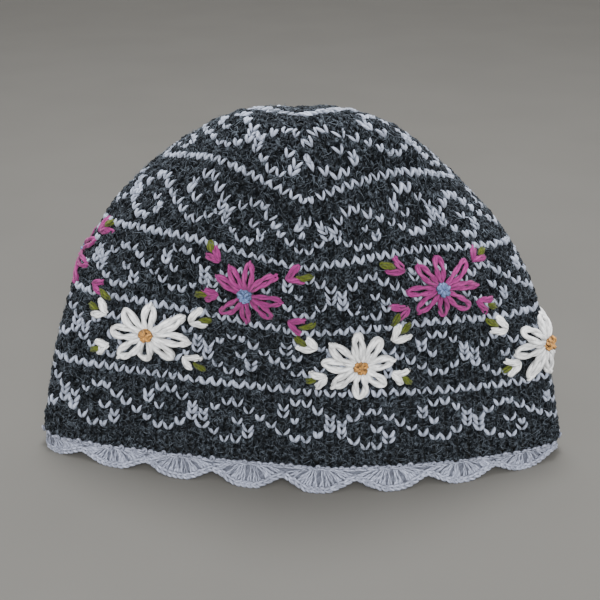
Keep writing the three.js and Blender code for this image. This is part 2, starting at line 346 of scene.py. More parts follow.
def cap_points(rows, columns):
    """Points of the cap's outer face. Each ring is a rounded lens whose sides bow and whose
    ends are folds of a steady radius. Its front and its back are each walked by their own
    length, so that stitches keep one width. It rises between the wedge lines and leans by its
    tilt and lift."""
    half = np.linspace(-1, 1, OUTLINE_STEPS + 1)
    to_end = 1 - np.abs(2 * np.abs(half) - 1)
    turn = np.pi / 2 * to_end ** CROWDING
    c = np.cos(turn) * np.where(np.abs(half) > 0.5, -1, 1)
    s = np.sin(turn) * np.where(half > 0, 1, -1)
    height, width, depth, back, roundness, skew, shift, tilt, rise, lift = (
        size_at(rows, sizes) for sizes in SECTIONS.T[1:])
    radius = np.minimum(FOLD_RADIUS, FOLD_SHARE * depth)
    wide, deep = width - radius, depth - radius
    power = 2 / roundness
    nx, ny = bend(c, 2 - power) / wide, bend(s, 2 - power) / deep
    length = np.hypot(nx, ny)
    x = wide * bend(c, power) + radius * nx / length - np.sign(s) * skew * s ** 2
    y = (deep * bend(s, power) + radius * ny / length) * np.where(s > 0, back, 1)
    steps = np.hypot(np.diff(x, prepend=x[:, :1]), np.diff(y, prepend=y[:, :1]))
    walked = np.cumsum(steps, axis=1)
    share = np.mod(columns - LEFT_FOLD, STITCHES) / STITCHES
    front, total = walked[:, OUTLINE_STEPS // 2, None], walked[:, -1:]
    wanted = np.where(share < 0.5, 2 * share * front, front + (2 * share - 1) * (total - front))
    x = np.array([np.interp(*line) for line in zip(wanted, walked, x)])
    y = np.array([np.interp(*line) for line in zip(wanted, walked, y)])
    off_line = np.abs(2 * np.mod(share * WEDGES, 1) - 1)
    z = height + rise * (1 - off_line ** CREST_POWER) - tilt * x - lift * y
    return np.stack([x + shift, y, z], -1)


class CapSurface:
    """The cap's outer face as a table of points, normals and stitch sizes, read between its
    entries in straight lines."""

    def __init__(self):
        self.rows = np.arange(FIRST_ROW, LAST_ROW + TABLE_STEP / 2, TABLE_STEP)
        columns = np.arange(0, STITCHES, TABLE_STEP)
        points = cap_points(self.rows, columns)
        along = (np.roll(points, -1, 1) - np.roll(points, 1, 1)) / (2 * TABLE_STEP)
        up = np.gradient(points, TABLE_STEP, axis=0)
        normal = unit(np.cross(along, up))
        sizes = np.stack([np.linalg.norm(along, axis=-1), np.linalg.norm(up, axis=-1)], -1)
        table = np.concatenate([points, normal, sizes], -1)
        self.table = np.concatenate([table, table[:, :1]], 1)

    def read(self, column, row):
        """The table's entry at any column and row, which may lie a little below the rim."""
        column, row = np.broadcast_arrays(np.asarray(column, float), np.asarray(row, float))
        up = (row - FIRST_ROW) / TABLE_STEP
        over = np.mod(column, STITCHES) / TABLE_STEP
        i = np.clip(np.floor(up).astype(int), 0, len(self.rows) - 2)
        j = np.clip(np.floor(over).astype(int), 0, self.table.shape[1] - 2)
        f = np.minimum(up - i, 1)[..., None]
        g = (over - j)[..., None]
        low = self.table[i, j] * (1 - g) + self.table[i, j + 1] * g
        high = self.table[i + 1, j] * (1 - g) + self.table[i + 1, j + 1] * g
        return low * (1 - f) + high * f

    def place(self, column, row, out):
        """Points that stand `out` from the face, and the face's normals there."""
        entry = self.read(column, row)
        normal = unit(entry[..., 3:6])
        return entry[..., :3] + normal * np.asarray(out)[..., None], normal

    def strand(self, column, row, along, up, out):
        """The path of one strand, and its normals, by millimetres along the row and up the
        column from a stitch."""
        width, height = self.read(column, row)[..., 6:8]
        path, normal = self.place(column + along / width, row + up / height, out)
        return path[None], normal[None]


CAP = CapSurface()


def stitches_lost(decreases, row):
    """How many stitches a side of a wedge has lost, eased from one decrease to the next."""
    return np.interp(row, (decreases[0] - 2, *decreases), range(len(decreases) + 1))


def stitches_left(row):
    """How many stitches a wedge still has."""
    return WEDGE - stitches_lost(LEFT_DECREASES, row) - stitches_lost(RIGHT_DECREASES, row)


def worked_column(stitch, across, row):
    """The cap's column of a point `across` stitches from a stitch's middle. The stitches that
    a wedge still has spread evenly over it."""
    within = np.mod(stitch - LEFT_FOLD, WEDGE)
    share = (within + across - stitches_lost(LEFT_DECREASES, row)) / stitches_left(row)
    return stitch - within + WEDGE * np.clip(share, 0, 1)


def stitch_list():
    """Every stitch of the cap as column, row and whether it is pale, decreases left out."""
    row, stitch = np.divmod(np.arange(int(LAST_ROW) * STITCHES), STITCHES)
    within = np.mod(stitch - LEFT_FOLD, WEDGE)
    left, right = (np.searchsorted(lost, row, side="right") for lost in (LEFT_DECREASES, RIGHT_DECREASES))
    kept = (within > left) & (within < WEDGE - right)
    stitch, row = stitch[kept], row[kept]
    chart = np.array([[mark == "X" for mark in line] for line in SCROLL])
    pale = chart[np.mod(TOP_STRIPE_FIRST - row, len(SCROLL)), np.mod(stitch, len(SCROLL[0]))]
    return stitch, row, pale & (row >= PLAIN_ROWS)


def carried(path, out):
    """How a section is carried along paths of shape (strands, points, 3): its side, its rise
    near `out`, and the length walked."""
    tangent = unit(np.gradient(path, axis=1))
    side = unit(np.cross(tangent, out))
    steps = np.linalg.norm(np.diff(path, axis=1, prepend=path[:, :1]), axis=-1)
    return side, np.cross(side, tangent), np.cumsum(steps, axis=1)


# A ply's distance from its yarn's middle and its half thickness, as shares of the yarn's,
# how flat the pair is, and how much its tone differs.
PLY_OFFSET = 0.38
PLY_THICK = 0.66
PLY_FLAT = 0.8
PLY_TONE = 0.15


class Yarn:
    """Gathers strands of yarn and turns them into one joined mesh."""

    def __init__(self):
        self.parts = []

    def add(self, path, out, across, depth, sides, tone):
        """Carries an ellipse with the half widths `across` and `depth` along paths of shape
        (strands, points, 3). The tone, from 0 to 1, tells strands apart."""
        side, rise, length = carried(path, out)
        angle = np.arange(sides) / sides * 2 * np.pi
        across, depth = (np.broadcast_to(half, length.shape)[..., None] for half in (across, depth))
        rings = (path[:, :, None] + side[:, :, None] * (across * np.cos(angle))[..., None]
                 + rise[:, :, None] * (depth * np.sin(angle))[..., None])
        self.parts.append((rings, length, tone))

    def add_plied(self, path, out, thick, pitch, sides, tone):
        """Adds two plies wound round each path, a full turn in each pitch."""
        side, rise, length = carried(path, out)
        turn = 2 * np.pi * (length / pitch + tone[:, None])
        thick = np.broadcast_to(thick, turn.shape)
        for half in (0, np.pi):
            offset = (side * (np.cos(turn + half) * thick * PLY_OFFSET)[..., None]
                      + rise * (np.sin(turn + half) * thick * PLY_OFFSET * PLY_FLAT)[..., None])
            self.add(path + offset, out, thick * PLY_THICK, thick * PLY_THICK, sides,
                     np.clip(tone + PLY_TONE * math.cos(half), 0, 1))

    def mesh(self, name, lowest=None):
        """One mesh of all the strands, with ends closed, the yarn's length in millimetres and
        its way round as the UV map Yarn, and the strands' tones as an attribute."""
        points, loops, counts, places, tones = [], [], [], [], []
        first = 0
        for rings, length, tone in self.parts:
            strands, many, sides = rings.shape[:3]
            index = first + np.arange(strands * many * sides).reshape(strands, many, sides)
            beside = np.roll(index, -1, 2)
            quads = np.stack([index[:, :-1], index[:, 1:], beside[:, 1:], beside[:, :-1]], -1)
            ends = np.concatenate([index[:, 0], index[:, -1, ::-1]])
            place = np.stack(np.broadcast_arrays(length[..., None], np.arange(sides) / sides), -1)
            near, far = place[:, :-1], place[:, 1:]
            step = np.array([0, 1 / sides])
            loops += [quads.ravel(), ends.ravel()]
            counts += [np.full(quads.size // 4, 4), np.full(len(ends), sides)]
            places += [np.stack([near, far, far + step, near + step], -2).reshape(-1, 2),
                       np.concatenate([place[:, 0], place[:, -1, ::-1]]).reshape(-1, 2)]
            points.append(rings.reshape(-1, 3))
            tones.append(np.repeat(tone, many * sides))
            first += strands * many * sides
        points = np.concatenate(points)
        if lowest is not None:
            points[:, 2] = np.maximum(points[:, 2], lowest)
        return whole_mesh(name, points, *(np.concatenate(x) for x in (loops, counts, places, tones)))


def whole_mesh(name, points, loops, counts, places, tones):
    """A mesh from whole arrays: points in millimetres, the corners of all faces in a row,
    the number of corners of each face, UV places of the corners and tones of the points."""
    mesh = bpy.data.meshes.new(name)
    mesh.vertices.add(len(points))
    mesh.vertices.foreach_set("co", (points * MM).astype(np.float32).ravel())
    mesh.loops.add(len(loops))
    mesh.loops.foreach_set("vertex_index", loops.astype(np.int32))
    mesh.polygons.add(len(counts))
    mesh.polygons.foreach_set("loop_start", first_corners(counts).astype(np.int32))
    mesh.polygons.foreach_set("use_smooth", np.ones(len(counts), bool))
    mesh.uv_layers.new(name="Yarn").data.foreach_set("uv", places.astype(np.float32).ravel())
    mesh.attributes.new("tone", "FLOAT", "POINT").data.foreach_set("value", tones.astype(np.float32))
    mesh.update(calc_edges=True)
    if mesh.validate():
        raise RuntimeError(name + " had faces that Blender had to mend")
    return mesh


def first_corners(counts):
    """Where each face's corners start in the row of all corners."""
    return np.cumsum(counts) - counts


def grid_quads(index):
    """The faces between neighbouring points of a grid, by the points' numbers."""
    corners = [index[:-1, :-1], index[:-1, 1:], index[1:, 1:], index[1:, :-1]]
    return np.stack(corners, -1).reshape(-1, 4)


# The order of corners that turns a face over.
OVER = [0, 3, 2, 1]


def quad_mesh(name, points, quads, places, tone):
    """A mesh of faces with four corners, from the points' UV places and one tone."""
    loops = quads.ravel()
    return whole_mesh(name, points, loops, np.full(len(quads), 4), places[loops],
                      np.full(len(points), tone))


def set_values(made, values):
    for key, value in values.items():
        setattr(made, key, value)


def add_object(data, material=None):
    """Puts a mesh, a light or a camera into the scene, under its own name."""
    made = bpy.data.objects.new(data.name, data)
    bpy.context.scene.collection.objects.link(made)
    if material:
        data.materials.append(material)
    return made


def add_piece(mesh, material, slot, *nodes):
    """Adds a piece, which rides on the one body and stands for its nodes."""
    piece = add_object(mesh, material)
    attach(piece, BODY)
    if nodes:
        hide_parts(*nodes)


def node_operator(operation, reflected=False):
    """One of Python's operators on a wire, as a Math node."""
    def apply(wire, other):
        return wire.maths(operation, *((other, wire) if reflected else (wire, other)))
    return apply


class Wire:
    """An output socket. Python's operators on it add Math nodes."""

    def __init__(self, shader, socket):
        self.shader = shader
        self.socket = socket

    def maths(self, operation, *values):
        return self.shader.node("ShaderNodeMath", {"operation": operation}, dict(enumerate(values)))

    __add__ = __radd__ = node_operator("ADD")
    __sub__ = node_operator("SUBTRACT")
    __rsub__ = node_operator("SUBTRACT", True)
    __mul__ = __rmul__ = node_operator("MULTIPLY")
    __pow__ = node_operator("POWER")

    def sine(self):
        return self.maths("SINE", self)

    def wave(self):
        """A sine that runs from 0 to 1."""
        return self.sine() * 0.5 + 0.5

    def clipped(self):
        return self.shader.node("ShaderNodeClamp", {}, {0: self})

    def ridge(self, sharp):
        """Thin lines where a noise passes its middle."""
        return (1 - self.maths("ABSOLUTE", self - 0.5) * sharp).clipped()

    def between(self, low, high):
        """0 below low, 1 above high, and a smooth step between them."""
        return self.shader.node("ShaderNodeMapRange", {"interpolation_type": "SMOOTHSTEP"},
                                {0: self, 1: low, 2: high})


class Shader:
    """A material and its one Principled shader."""

    def __init__(self, name, values):
        self.material = bpy.data.materials.new(name)
        self.material.use_nodes = True
        self.tree = self.material.node_tree
        self.tree.nodes.clear()
        self.surface = self.tree.nodes.new("ShaderNodeBsdfPrincipled")
        output = self.tree.nodes.new("ShaderNodeOutputMaterial")
        self.tree.links.new(self.surface.outputs[0], output.inputs["Surface"])
        for key, value in values.items():
            self.surface.inputs[key].default_value = value

    def node(self, kind, settings, sockets, output=0):
        """Adds a node, with its settings first and then its sockets' values or links."""
        made = self.tree.nodes.new(kind)
        set_values(made, settings)
        for key, value in sockets.items():
            self.feed(made.inputs[key], value)
        return Wire(self, made.outputs[output])

    def feed(self, socket, value):
        if isinstance(value, Wire):
            self.tree.links.new(value.socket, socket)
        else:
            socket.default_value = value

    def mix(self, factor, first, second, blend="MIX"):
        """Two colours mixed by a factor."""
        first, second = ((*x, 1.0) if isinstance(x, tuple) else x for x in (first, second))
        return self.node("ShaderNodeMix", {"data_type": "RGBA", "blend_type": blend},
                         {0: factor, 6: first, 7: second}, 2)

    def vector(self, x, y, z):
        return self.node("ShaderNodeCombineXYZ", {}, {0: x, 1: y, 2: z})

    def noise(self, place, scale, detail=2.0, roughness=0.5, distortion=0.0):
        return self.node("ShaderNodeTexNoise", {"noise_dimensions": "3D"},
                         {"Vector": place, "Scale": scale, "Detail": detail,
                          "Roughness": roughness, "Distortion": distortion})

    def place(self):
        """Object coordinates, in metres."""
        return self.node("ShaderNodeTexCoord", {}, {}, 3)

    def yarn_place(self):
        """The two numbers of the UV map Yarn."""
        place = self.node("ShaderNodeUVMap", {"uv_map": "Yarn"}, {})
        first = self.node("ShaderNodeSeparateXYZ", {}, {0: place})
        return first, Wire(self, first.socket.node.outputs[1])

    def tone(self):
        """The strand's own number."""
        return self.node("ShaderNodeAttribute", {"attribute_name": "tone"}, {}, 2)

    def set(self, socket, value):
        self.feed(self.surface.inputs[socket], value)

    def paint(self, colour, level):
        """A colour that is darkened to a level."""
        grey = self.vector(level, level, level)
        self.set("Base Color", self.mix(1.0, colour, grey, "MULTIPLY"))

    def bump(self, height, distance, strength):
        """Relief, as a height from 0 to 1 over a distance in metres."""
        sockets = {"Height": height, "Distance": distance, "Strength": strength}
        self.set("Normal", self.node("ShaderNodeBump", {}, sockets))


# The values that are the same all over a finish, by the shader's own sockets.
WOOL = {"Roughness": 0.92, "Sheen Weight": 0.1, "Sheen Roughness": 0.55, "Specular IOR Level": 0.2}
DARK_WOOL = {"Roughness": 0.95, "Sheen Weight": 0.02, "Sheen Roughness": 0.5, "Specular IOR Level": 0.04}
MATT_PAINT = {"Roughness": 0.9, "Specular IOR Level": 0.2}
# A full turn, the plies of a yarn, and how strongly a heather yarn's light fibres show.
TURN = 2 * math.pi
PLIES = 2
HEATHER = 0.55


def yarn_shader(name, colour, contrast, values=WOOL, fibre=None, pitch=5.0, relief=0.35,
                girth=6.0, painted_groove_shade=0.22, painted_side_shade=0.25):
    """Spun wool: two plies that turn once in each `pitch` of millimetres, `girth` rows of fine
    fibres along them, and a colour that varies by strand, by ply and by fibre. The last two
    arguments paint shade into the colour: darker in the grooves between the plies, and darker
    towards a strand's sides. `fibre` is the colour of the light fibres of a heather yarn, which
    also lie across the stitches as thin curved lines."""
    shader = Shader(name, values)
    length, way = shader.yarn_place()
    tone, place = shader.tone(), shader.place()
    ply = (way * (TURN * PLIES) + length * (TURN / pitch) + tone * 40.0).wave() ** 0.6
    wound = way + length * (1 / pitch / PLIES)
    grain = shader.vector(length * 0.45, wound * (girth * 1.6), tone * 90.0)
    fine = shader.noise(grain, 1.6, 3.0, 0.6)
    strands = shader.vector(length * 0.35, wound * (girth * 1.4), tone * 61.0 + 7.0)
    hair = shader.noise(strands, 1.7, 2.0, 0.6)
    spread = shader.noise(place, 45.0)
    base = shader.mix(fine.between(0.3, 0.7), scaled(colour, 1 - contrast),
                      scaled(colour, 1 + 0.45 * contrast))
    if fibre:
        base = shader.mix(hair.between(0.56, 0.72) * HEATHER * 0.7, base, fibre)
        crossing = shader.noise(place, 900.0, 1.0, 0.5, 1.2).ridge(10.0)
        patch = shader.noise(place, 420.0, 2.0, 0.6).between(0.42, 0.66)
        base = shader.mix(crossing * (0.15 + 0.85 * patch) * HEATHER, base, fibre)
    # Painted shade: darker in the grooves between the plies, and towards each strand's sides.
    level = (1 - painted_groove_shade * 0.8) + painted_groove_shade * ply
    side = (way * (2 * TURN) + TURN / 4).wave() ** 1.5
    level = level * (0.86 + 0.28 * tone) * (0.84 + 0.32 * spread) * (1 - painted_side_shade * side)
    shader.paint(base, level)
    shader.bump(ply * 0.65 + hair * 0.25 + fine * 0.2, 0.0006, relief)
    return shader.material


def purl_shader(name, colour):
    """The reverse side of the knitting: rows of small bumps, each as wide as a stitch, with painted shade
    between the rows.
    """
    shader = Shader(name, DARK_WOOL)
    column, row = shader.yarn_place()
    ridge = ((row + (column * TURN).sine() * 0.18) * TURN).wave()
    fibres = shader.noise(shader.vector(column * 2.0, row * 3.0, 0.0), 4.0, 4.0, 0.65)
    # Painted shade: the colour darkens between the rows of bumps.
    shader.paint(colour, (0.45 + 0.6 * ridge) * (0.6 + 0.8 * fibres))
    shader.bump(ridge * 0.8 + fibres * 0.3, 0.0012, 0.8)
    return shader.material


def fibre_shader(name, first, second):
    """Single wool fibres: two shades mixed by fibre."""
    shader = Shader(name, DARK_WOOL)
    patch = shader.noise(shader.place(), 60.0, 1.0)
    shader.set("Base Color", shader.mix((shader.tone() * 0.8 + patch * 0.2).clipped(), first, second))
    return shader.material


def knitted(stitch, row, share, seed, jitter):
    """Both legs of each stitch. A leg climbs from the foot of the stitch to its shoulder,
    leaning away from the middle by its reach, and dives under the row above."""
    sizes = bpy.context.scene.beanie.stitches
    rng = np.random.default_rng(seed)
    tone = rng.random(len(stitch))

    def varied(by):
        return rng.normal(0, jitter * by, (len(stitch), 1))

    lean = LEG_REACH * (1 + varied(0.16))
    swell = 1 + varied(0.10)
    lift = varied(0.22)
    width = CAP.read(worked_column(stitch, 0, row), row)[:, 6] * WEDGE / stitches_left(row)
    wide = np.clip(share * width[:, None], THINNEST_LEG, THICKEST_LEG)
    yarn = Yarn()
    for side in (-1, 1):
        own = 1 + varied(0.08)
        drift = varied(0.05)
        up = row[:, None] - 0.5 + LEG[:, 1] + drift
        column = worked_column(stitch[:, None], side * LEG[:, 0] * lean + drift * 0.4, up)
        path, out = CAP.place(column, up, LEG[:, 2] + lift)
        across = wide * LEG[:, 3] * swell * own
        yarn.add(path, out, across, sizes.depth / MM * LEG[:, 3] * swell, sizes.sides,
                 np.clip(tone + drift[:, 0], 0, 1))
    return yarn


class BEANIE_OT_inside(bpy.types.Operator):
    """Makes the inside of the cap, a thin closed shell behind the stitches"""
    bl_idname = "beanie.inside"
    bl_label = "Inside"

    def execute(self, context):
        # Two sheets behind the cap's face, joined at the rim and closed at the crown by fans.
        row, column = np.meshgrid(np.arange(FIRST_ROW, LAST_ROW), np.arange(0, STITCHES, 0.5),
                                  indexing="ij")
        sheets = [CAP.place(column, row, -behind)[0] for behind in (OUTER_SHEET, INNER_SHEET)]
        tops = [sheet[-1].mean(0)[None] for sheet in sheets]
        points = np.concatenate([sheet.reshape(-1, 3) for sheet in sheets] + tops)
        inner = row.size
        index = np.pad(np.arange(inner).reshape(row.shape), ((0, 0), (0, 1)), "wrap")
        front = grid_quads(index)
        rim = grid_quads(np.stack([index[0] + inner, index[0]]))
        quads = np.concatenate([front, front[:, OVER] + inner, rim])
        edge, beside = index[-1, :-1], index[-1, 1:]
        crown = np.stack([edge, beside, np.full(len(edge), 2 * inner)], -1)
        under = np.stack([beside + inner, edge + inner, np.full(len(edge), 2 * inner + 1)], -1)
        fans = np.concatenate([crown, under])
        loops = np.concatenate([quads.ravel(), fans.ravel()])
        counts = np.concatenate([np.full(len(quads), 4), np.full(len(fans), 3)])
        flat = np.stack([column, row], -1).reshape(-1, 2)
        places = np.concatenate([flat, flat, [[0, LAST_ROW], [0, LAST_ROW]]])[loops]
        # The faces at the seam end at the last column and not at the first.
        highest = np.repeat(np.maximum.reduceat(places[:, 0], first_corners(counts)), counts)
        at_seam = (highest > STITCHES * 0.9) & (places[:, 0] < STITCHES * 0.1)
        places[:, 0] += np.where(at_seam, STITCHES, 0)
        mesh = whole_mesh("knit_inside", points, loops, counts, places, np.full(len(points), 0.5))
        # The inside is kept much darker than the ground yarn: painted shade in the gaps between the
        # stitches, where it shows.
        material = purl_shader("inside wool", scaled(colour_of("ground_light"), 0.08))
        add_piece(mesh, material, "body_yarn", "knit_body")
        return {"FINISHED"}


class BEANIE_OT_stitches(bpy.types.Operator):
    """Knits the charcoal stitches in three bands, and the pale scroll and stripes"""
    bl_idname = "beanie.stitches"
    bl_label = "Knitted stitches"

    def execute(self, context):
        sizes = context.scene.beanie.stitches
        stitch, row, pale = stitch_list()
        charcoal = yarn_shader("charcoal heather wool", colour_of("ground"), 0.5, DARK_WOOL,
                               colour_of("ground_light"))
        for seed, (name, low, high) in enumerate(BANDS, 10):
            own = ~pale & (row >= low) & (row < high)
            yarn = knitted(stitch[own], row[own], sizes.ground_share, seed, 1.3)
            add_piece(yarn.mesh(name), charcoal, "body_yarn", "knit_body")
        yarn = knitted(stitch[pale], row[pale], sizes.pale_share, 20, 1.2)
        add_piece(yarn.mesh("pattern_stitches"), yarn_shader("pale wool", colour_of("pale"), 0.16),
                  "pale_yarn", "knit_body")
        return {"FINISHED"}


def scallop_across(column):
    """A column's place in its scallop, from -1 at one notch to 1 at the next."""
    half = SCALLOP / 2
    return (np.mod(column - FIRST_NOTCH, SCALLOP) - half) / half


def scallop_fall(across):
    """How far the edging hangs at a place across a scallop: a full cosine wave from notch to
    notch with a short flat tip, which rests on the floor."""
    wave = np.cos(np.pi / 2 * across) / math.cos(math.pi / 2 * FLAT_TIP)
    return NOTCH_FALL + (EDGING_TOP - NOTCH_FALL) * np.clip(wave, 0, 1) ** SHELL_POWER


def edging_place(column, fall, out):
    """Points on the edging, which hangs from the rim and flares as it falls, and the
    directions out from it."""
    rim, normal = CAP.place(column, FIRST_ROW, 0.0)
    level = unit(normal * (1, 1, 0))
    lean = level * (1 - (rim[..., :1] / SECTIONS[0, 2]) ** 2)
    lean[..., 2] = -1
    point = rim + lean * np.asarray(fall)[..., None]
    point[..., 2] = EDGING_TOP - fall
    facing = unit(np.cross(np.cross((0, 0, 1), level), -lean))
    facing *= np.sign((facing * level).sum(-1, keepdims=True))
    return point + facing * np.asarray(out)[..., None], facing


def braid(yarn, centre, out, thick, sides, seed):
    """Adds a chain of V links along lines of points: `centre` has shape (links + 1, 3), and
    each link's two legs run from one point past the next, first together and then apart."""
    start = centre[:-1, None]
    along = centre[1:, None] - start
    facing = unit(out[:-1] + out[1:])[:, None]
    side = unit(np.cross(along, facing))
    share, apart, rise, full = LINK.T
    tone = np.random.default_rng(seed).random(len(start))
    for sign in (-1, 1):
        path = (start + along * share[:, None] + side * (sign * (apart * LINK_SPREAD * thick))[:, None]
                + facing * (rise * thick)[:, None])
        yarn.add(path, facing, full * thick, full * thick * 0.9, sides, tone)


def add_posts(yarn, posts, thick, rng):
    """Adds fans of posts from the middle of each scallop's top to its arc, two strands to
    each, wound half round one another."""
    shape = (SCALLOPS, posts, 1)
    share = np.linspace(0, 1, POST_POINTS)
    middle = (FIRST_NOTCH + SCALLOP / 2 + SCALLOP * np.arange(SCALLOPS))[:, None, None]
    to = np.linspace(-1.0, 1.0, posts)[:, None] + rng.normal(0, 0.03, shape)
    swell = rng.normal(1, 0.15, shape)
    wobble = rng.normal(0, 0.35, shape)
    wide = (thick * (0.5 + 0.52 * share) * swell).reshape(-1, POST_POINTS)
    spread = thick * (0.35 + 0.55 * share)
    wind = share * np.pi * 1.1
    for side in (-1, 1):
        start = 0.25 * np.sign(to) * (1 - share)
        column = middle + SCALLOP / 2 * to * share ** 0.85 * 0.96 + start
        fall = 0.2 + (scallop_fall(to) - 1.6) * share ** 1.15 + rng.normal(0, 0.3, shape) * share
        out = -0.35 + 0.45 * (side * np.sin(wind + 0.4 + wobble)) * thick + 0.25 * wobble
        path, out = (a.reshape(-1, POST_POINTS, 3) for a in edging_place(column, fall, out))
        aside = side * np.cos(wind - 0.2 + wobble) * spread
        path = path + carried(path, out)[0] * aside.reshape(-1, POST_POINTS, 1)
        yarn.add(path, out, wide, wide * 0.95, 6, rng.random(len(path)))


def add_chains(yarn, thick, rng):
    """Adds the border, one chain along all the scallops, and the chain along the rim."""
    links = SCALLOPS * BORDER_LINKS
    column = FIRST_NOTCH + np.arange(links + 1) * STITCHES / links
    fall = scallop_fall(scallop_across(column)) - BORDER_RISE + rng.normal(0, 0.12, links + 1)
    fall[-1] = fall[0]
    braid(yarn, *edging_place(column, fall, 0.1), thick * 1.1, 7, 31)
    braid(yarn, *edging_place(np.arange(STITCHES + 1.0), 0.9, 0.1), thick * 0.75, 6, 60)


def add_rim_loops(yarn, thick, rng):
    """Adds one small loop over the knitted edge at each stitch."""
    turn = np.linspace(0, np.pi, 7)
    tall = 0.35 + 0.4 * rng.random((STITCHES, 1))
    column = np.arange(STITCHES)[:, None] + rng.normal(0, 0.16, (STITCHES, 1)) - 0.17 * np.cos(turn)
    row = FIRST_ROW - 0.35 + 1.1 * tall * np.sin(turn)
    path, out = CAP.place(column, row, 0.9 + 1.1 * np.sin(turn))
    plump = thick * (0.75 + 0.3 * rng.random((STITCHES, 1)))
    yarn.add(path, out, plump, plump * 0.9, 6, rng.random(STITCHES))


def backing_mesh():
    """A thin closed sheet behind the posts: a front and a back grid over each column from
    the rim to just inside the arc, joined all round. It is coloured as painted shade in the
    gaps between the posts."""
    columns = np.arange(0, STITCHES, 0.25)
    column, share = np.meshgrid(columns, np.linspace(0, 1, 6))
    fall = share * (scallop_fall(scallop_across(columns)) - BACKING_RISE) - 0.5
    front, back = (edging_place(column, fall, -behind)[0] for behind in (BACKING_FRONT, BACKING_BACK))
    grid = np.concatenate([front, back[::-1]])
    points = grid.reshape(-1, 3)
    points[:, 2] = np.maximum(points[:, 2], BACKING_LOWEST)
    index = np.arange(len(points)).reshape(grid.shape[:2])
    places = np.broadcast_arrays(columns * STITCH_WIDTH, np.arange(len(grid))[:, None] / 4)
    return quad_mesh("scallop_backing", points, grid_quads(np.pad(index, (0, 1), "wrap"))[:, OVER],
                     np.stack(places, -1).reshape(-1, 2), 0.3)


class BEANIE_OT_edging(bpy.types.Operator):
    """Crochets the scalloped edging: a backing, fans of posts, a braided border and loops"""
    bl_idname = "beanie.edging"
    bl_label = "Scalloped edging"

    def execute(self, context):
        sizes = context.scene.beanie.edging
        thick = sizes.strand / MM
        colour = colour_of("edging")
        rng = np.random.default_rng(30)
        yarn = Yarn()
        add_posts(yarn, sizes.posts, thick, rng)
        add_chains(yarn, thick, rng)
        add_rim_loops(yarn, thick, rng)
        material = yarn_shader("edging wool", colour, 0.5, relief=1.0, pitch=3.5, painted_groove_shade=0.4,
                               painted_side_shade=0.5)
        add_piece(yarn.mesh("scallop_crochet", CROCHET_LOWEST), material, "edging_yarn",
                  "scallop_edging")
        # Painted shade: the backing is the edging yarn darkened, so that the gaps between the posts read as
        # shaded.
        material = yarn_shader("edging back wool", scaled(colour, 0.4), 0.4)
        add_piece(backing_mesh(), material, "edging_yarn", "scallop_edging")
        return {"FINISHED"}


def turned(ahead, aside, angle):
    """Millimetres along the row and up the column of a point `ahead` and `aside` of a heading."""
    c, s = math.cos(angle), math.sin(angle)
    return ahead * c - aside * s, ahead * s + aside * c


def loop_stitch(yarn, column, row, tip, start, half_width, thick, rng, lift, points=34, sides=6):
    """Adds one looped petal: a strand that leaves the middle, turns round the tip and comes
    back. While its phase goes once round, s = (1 - cos phase) / 2 goes from 0 at the middle to
    1 at the tip and back, and its half width is the phase's sine times the square root of s.
    It stands highest before the tip."""
    phase = np.linspace(0.30, 2 * np.pi - 0.30, points)
    s = (1 - np.cos(phase)) / 2
    reach = math.hypot(*tip)
    length = start + (reach - thick - start) * s
    bow = rng.normal(0, 0.1) * reach
    lean = rng.normal(0, 0.1)
    aside = half_width * (np.sin(phase) + lean) * np.sqrt(s) * 1.25 + bow * s * (1 - s)
    # The loop's two halves cross at slightly different heights.
    over = 0.25 * np.cos(phase / 2)
    out = lift + 0.9 + thick * (0.55 + 0.7 * np.sin(np.pi * s ** 0.7)) - 0.7 * s ** 6 + over
    strand = CAP.strand(column, row, *turned(length, aside, math.atan2(tip[1], tip[0])), out)
    narrow = 0.62 + 0.38 * np.minimum(1, s / 0.3)
    yarn.add_plied(*strand, thick * narrow, thick * 10, sides, rng.random(1))


def tack_stitch(yarn, column, row, tip, thick, rng):
    """Adds the short stitch that holds a petal's tip down."""
    reach = math.hypot(*tip)
    share = np.linspace(-1, 1, 5)
    length = reach + share * 1.3 - 1.1
    out = 1.5 + thick * 0.8 - 1.5 * share ** 2
    strand = CAP.strand(column, row, length * tip[0] / reach, length * tip[1] / reach, out)
    yarn.add(*strand, thick * 0.5 * (1 - 0.3 * share ** 2), thick * 0.5, 6, rng.random(1))


def sprig(yarn, leaves, column, row, leaf, thick, leaf_thick, rng):
    """Adds a sprig: two small petals that part from a point near the flower, and a leaf
    between their outer ends."""
    width, height = CAP.read(column, row)[6:8]
    place = np.array([leaf[0] * width, leaf[1] * height])
    heading = math.atan2(place[1], place[0])

    def foot(back):
        """The column and row of a point on the way from the leaf's place to the flower."""
        along, up = place - back * np.array(turned(1, 0, heading))
        return column + along / width, row + up / height

    for part in (-0.5, 0.5):
        angle = heading + part + rng.normal(0, 0.1)
        tip = turned(rng.normal(SPRIG_REACH, 0.6), 0, angle)
        loop_stitch(yarn, *foot(SPRIG_BACK), tip, 0.3, 0.85, 0.5 + thick * 0.45, rng, -0.4, *SMALL_LOOP)
    angle = rng.normal(heading, 0.3)
    tip = turned(rng.normal(LEAF_REACH, 0.9), 0, angle)
    loop_stitch(leaves, *foot(LEAF_BACK), tip, 0.2, leaf_thick, leaf_thick, rng, -0.1, *SMALL_LOOP)
    # A plump strand fills the leaf's loop.
    share = np.linspace(0.05, 0.85, 6)
    strand = CAP.strand(*foot(LEAF_BACK), share * tip[0], share * tip[1], 1.6 + 0.9 * np.sin(np.pi * share))
    leaves.add(*strand, leaf_thick * 0.8 * np.sin(np.pi * (0.12 + 0.8 * share)), leaf_thick * 0.7, 6,
               rng.random(1))


